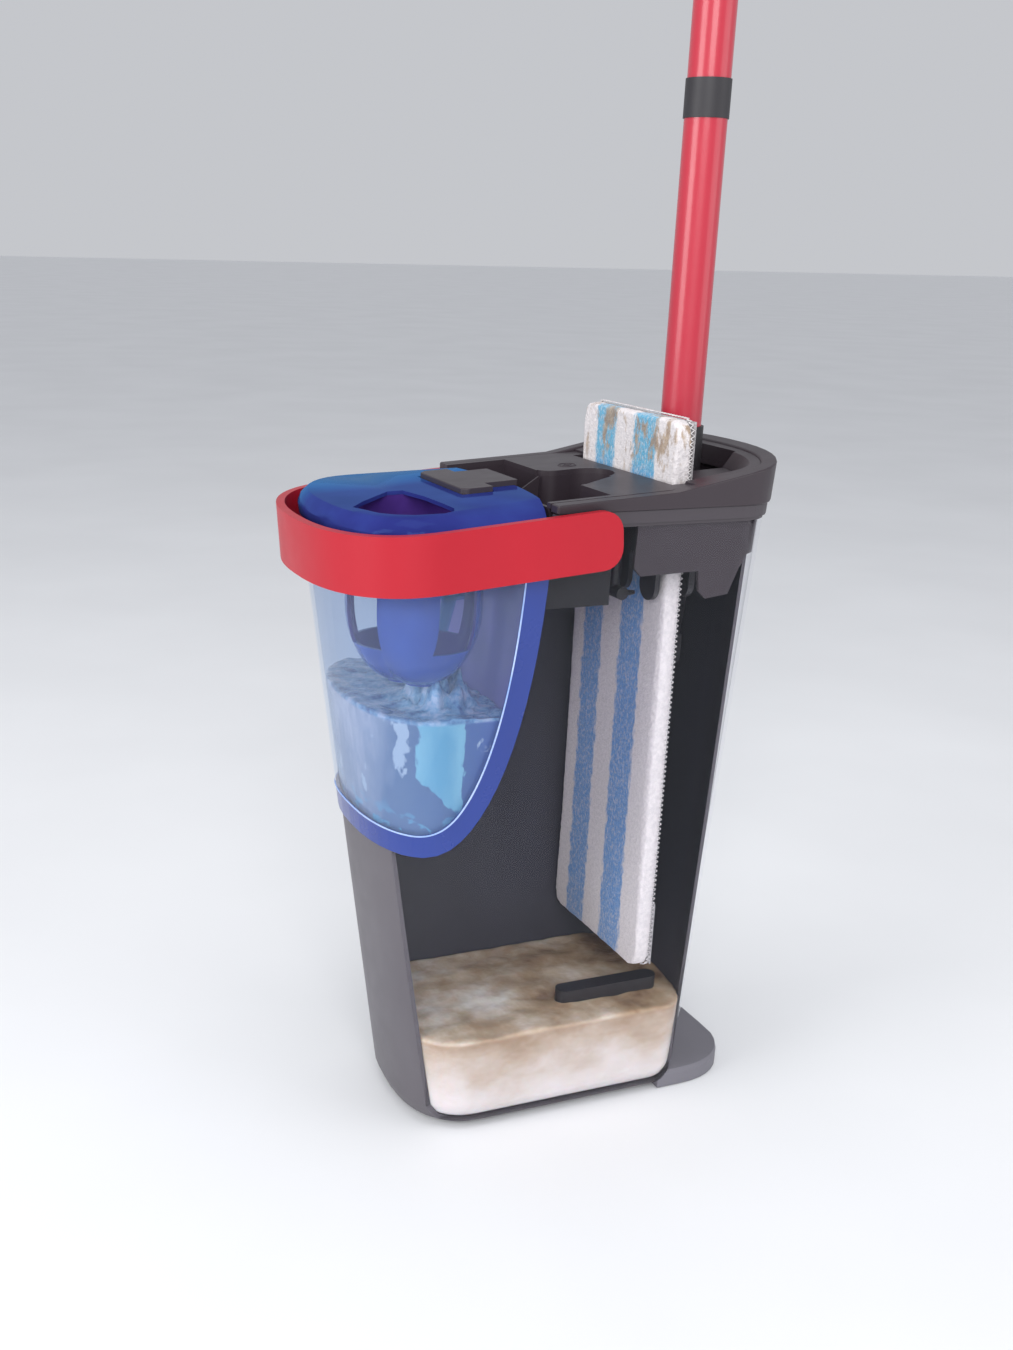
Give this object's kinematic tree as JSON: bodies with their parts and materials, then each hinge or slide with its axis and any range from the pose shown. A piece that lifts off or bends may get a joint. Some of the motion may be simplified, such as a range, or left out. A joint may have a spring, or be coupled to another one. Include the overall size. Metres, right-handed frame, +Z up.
{
  "type": "two-tank mop bucket set",
  "caption": "Tall oval bucket with a clear clean-water tank, carrying handle, lift-out wringing insert and a flat mop standing in its slot on a jointed pole",
  "frame": {"origin": "on the floor, at the middle of the bucket's centre foot", "axes": "X runs along the bucket from the clean-water tank (-X) to the foot plate (+X), Y across it, Z up along the pole"},
  "size_m": [0.3068, 0.181, 1.44],
  "materials": {
    "bucket_plastic": "fine satin texture",
    "clear_panel": "clear, polished",
    "foot_plastic": "satin",
    "rubber_black": "matt",
    "dark_plastic": "satin",
    "steel": "satin",
    "red_plastic": "smooth satin gloss",
    "insert_plastic": "fine satin texture",
    "tank_clear": "clear with a blue tint, polished",
    "tank_blue": "smooth gloss",
    "tank_back_blue": "translucent blue, polished",
    "lid_blue": "translucent dark blue, polished",
    "funnel_blue": "translucent blue, polished",
    "pump_clear": "clear with a blue tint, polished",
    "pad_fabric": "looped microfibre, white and blue stripes",
    "pad_backing": "woven",
    "pole_dark": "satin",
    "pole_red": "satin enamel",
    "grip_rubber": "matt, ribbed"
  },
  "bodies": {
    "bucket": {"bucket_shell": "bucket_plastic", "side_window": "clear_panel", "foot_plate": "foot_plastic", "rubber_feet": "rubber_black", "rest_bar": "dark_plastic", "handle_pins": "steel"},
    "handle": {"carry_handle": "red_plastic"},
    "insert": {"insert_deck": "insert_plastic", "insert_rim": "insert_plastic", "mop_guide": "insert_plastic", "insert_skirt": "insert_plastic", "hand_hollow": "insert_plastic", "comb_front": "dark_plastic", "comb_rear": "dark_plastic", "wiper_lip_front": "rubber_black", "wiper_lip_rear": "rubber_black", "comb_screws": "steel", "inlet_cup": "insert_plastic", "inlet_seal": "rubber_black", "delivery_pipe": "dark_plastic", "spray_bar": "dark_plastic"},
    "tank": {"tank_window": "tank_clear", "tank_frame": "tank_blue", "tank_back": "tank_back_blue"},
    "lid": {"tank_lid": "lid_blue", "lid_gasket": "rubber_black", "fill_funnel": "funnel_blue", "pump_gland": "rubber_black", "pump_barrel": "pump_clear", "outlet_spout": "pump_clear", "suction_pipe": "pump_clear", "suction_filter": "tank_blue", "pump_spring": "steel"},
    "key": {"pump_key": "insert_plastic", "pump_piston": "dark_plastic", "piston_seal": "rubber_black"},
    "mop_head": {"mop_plate": "dark_plastic", "mop_pad": "pad_fabric", "pad_pockets": "pad_backing", "joint_base": "dark_plastic", "joint_screws": "steel", "base_pin": "steel"},
    "yoke": {"joint_cross": "dark_plastic", "cross_pin": "steel"},
    "pole": {"pole_adaptor": "pole_dark", "pole_lower": "pole_red", "collar_lower": "pole_dark", "pole_middle": "pole_red", "collar_upper": "pole_dark", "pole_upper": "pole_red", "pole_grip": "grip_rubber", "pole_cap": "pole_dark"}
  },
  "joints": [
    {"name": "handle_swing", "type": "hinge", "parent": "bucket", "child": "handle", "pos_m": [-0.02, 0, 0.386], "axis": [0, 1, 0], "range_deg": [0, 110]},
    {"name": "insert_lift", "type": "slide", "parent": "bucket", "child": "insert", "axis": [0, 0, 1], "range_m": [0, 0.3]},
    {"name": "tank_lift", "type": "slide", "parent": "insert", "child": "tank", "axis": [0, 0, 1], "range_m": [0, 0.25]},
    {"name": "lid_lift", "type": "slide", "parent": "tank", "child": "lid", "axis": [0, 0, 1], "range_m": [0, 0.2]},
    {"name": "pump_press", "type": "slide", "parent": "lid", "child": "key", "axis": [0, 0, 1], "range_m": [-0.006, 0], "stiffness_N_per_m": 400, "springref_m": 0.012, "deforming": ["pump_spring"]},
    {"name": "mop_lift", "type": "slide", "parent": "bucket", "child": "mop_head", "axis": [0, 0, 1], "range_m": [-0.015, 0.42]},
    {"name": "head_fold", "type": "hinge", "parent": "mop_head", "child": "yoke", "pos_m": [0.066, 0, 0.271], "axis": [0, 1, 0], "range_deg": [-2, 2.5]},
    {"name": "head_lean", "type": "hinge", "parent": "yoke", "child": "pole", "pos_m": [0.077, 0, 0.29], "axis": [1, 0, 0], "range_deg": [-5, 5]}
  ]
}
